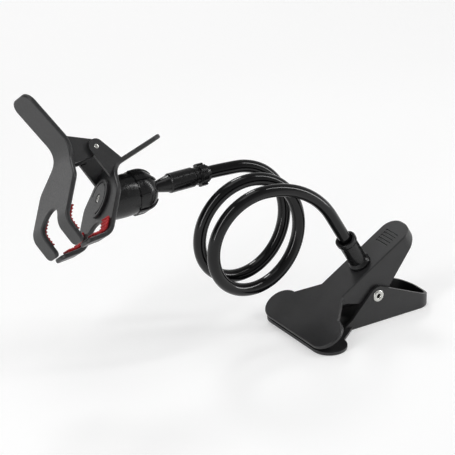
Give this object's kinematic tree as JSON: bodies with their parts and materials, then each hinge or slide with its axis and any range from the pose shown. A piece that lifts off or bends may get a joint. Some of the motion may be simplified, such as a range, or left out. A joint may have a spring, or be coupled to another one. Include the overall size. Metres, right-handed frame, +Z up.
{
  "type": "desk phone stand",
  "caption": "Flexible-arm phone stand: a sprung table clamp, a bendable arm wound in a coil and a sprung two-fingered phone clip on a ball joint.",
  "frame": {"origin": "on the clamp's lower outer face, straight below the clamp's pivot", "axes": "+X towards the clamp's handles, +Y along the clamp's pivot to the far side, +Z up from the lower plate"},
  "size_m": [0.2806, 0.1406, 0.1894],
  "materials": {
    "black_abs": "fine satin moulding",
    "black_pvc": "smooth glossy sheath",
    "red_rubber": "ribbed soft rubber",
    "black_rubber": "grooved soft rubber",
    "nickel_steel": "bright plated",
    "soft_aluminium": "drawn rod"
  },
  "bodies": {
    "clamp_base": {"clamp_lower_jaw": "black_abs", "clamp_lower_pad": "black_rubber", "clamp_rivet": "nickel_steel", "clamp_spring": "nickel_steel"},
    "clamp_top": {"clamp_upper_jaw": "black_abs", "clamp_upper_pad": "black_rubber", "arm_sleeve": "black_abs", "arm_screw": "nickel_steel", "gooseneck_core": "soft_aluminium", "gooseneck_sheath": "black_pvc", "stud_ring": "black_abs"},
    "stud": {"ball_stud": "black_abs"},
    "nut": {"socket_nut": "black_abs"},
    "socket": {"socket_dome": "black_abs", "swivel_disc": "black_abs", "swivel_screw": "nickel_steel"},
    "clip_base": {"clip_lower_jaw": "black_abs", "clip_lower_pad_left": "red_rubber", "clip_lower_pad_right": "red_rubber", "clip_pin": "nickel_steel", "clip_spring": "nickel_steel"},
    "clip_top": {"clip_upper_jaw": "black_abs", "clip_upper_pad_left": "red_rubber", "clip_upper_pad_right": "red_rubber"}
  },
  "joints": [
    {"name": "clamp_open", "type": "hinge", "parent": "clamp_base", "child": "clamp_top", "pos_m": [0, 0, 0.021], "axis": [0, 1, 0], "range_deg": [0, 50], "stiffness_Nm_per_rad": 1.5, "springref_deg": -57.3, "deforming": ["clamp_spring"]},
    {"name": "ball_spin", "type": "hinge", "parent": "clamp_top", "child": "stud", "pos_m": [-0.157, 0.0445, 0.119], "axis": [1, 0, 0], "continuous": true},
    {"name": "ball_tilt", "type": "hinge", "parent": "stud", "child": "nut", "pos_m": [-0.157, 0.0445, 0.119], "axis": [0, -0.7986, 0.6018], "range_deg": [-25, 25]},
    {"name": "nut_turn", "type": "hinge", "parent": "nut", "child": "socket", "pos_m": [-0.157, 0.0445, 0.119], "axis": [1, 0, 0], "continuous": true},
    {"name": "clip_swivel", "type": "hinge", "parent": "socket", "child": "clip_base", "pos_m": [-0.186, 0.0445, 0.119], "axis": [-0.848, 0.3189, 0.4232], "continuous": true},
    {"name": "clip_open", "type": "hinge", "parent": "clip_base", "child": "clip_top", "pos_m": [-0.18511, 0.06546, 0.14681], "axis": [0, 0.7986, -0.6018], "range_deg": [0, 60], "stiffness_Nm_per_rad": 0.35, "springref_deg": -51.57, "deforming": ["clip_spring"]}
  ]
}
